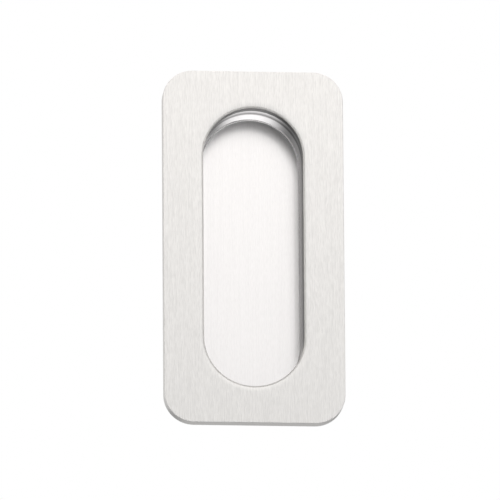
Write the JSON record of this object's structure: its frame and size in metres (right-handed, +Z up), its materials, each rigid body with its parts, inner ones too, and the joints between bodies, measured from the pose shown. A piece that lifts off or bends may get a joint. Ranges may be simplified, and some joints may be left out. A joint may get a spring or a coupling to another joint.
{
  "type": "pocket door pull",
  "caption": "Flush pull for a pocket door: an upright brushed steel face plate with rounded corners and an obround finger cup welded behind its opening.",
  "frame": {"origin": "middle of the door's surface, in the plane of the face plate's back", "axes": "+X across the plate, +Y into the door, +Z up the plate; the face looks towards -Y"},
  "size_m": [0.06, 0.0155, 0.12],
  "materials": {
    "face_plate": "satin, brushed along the plate's length",
    "recess_cup": "satin floor brushed along its length, smooth drawn wall"
  },
  "bodies": {
    "root": {"face_plate": "face_plate", "recess_cup": "recess_cup"}
  },
  "joints": []
}
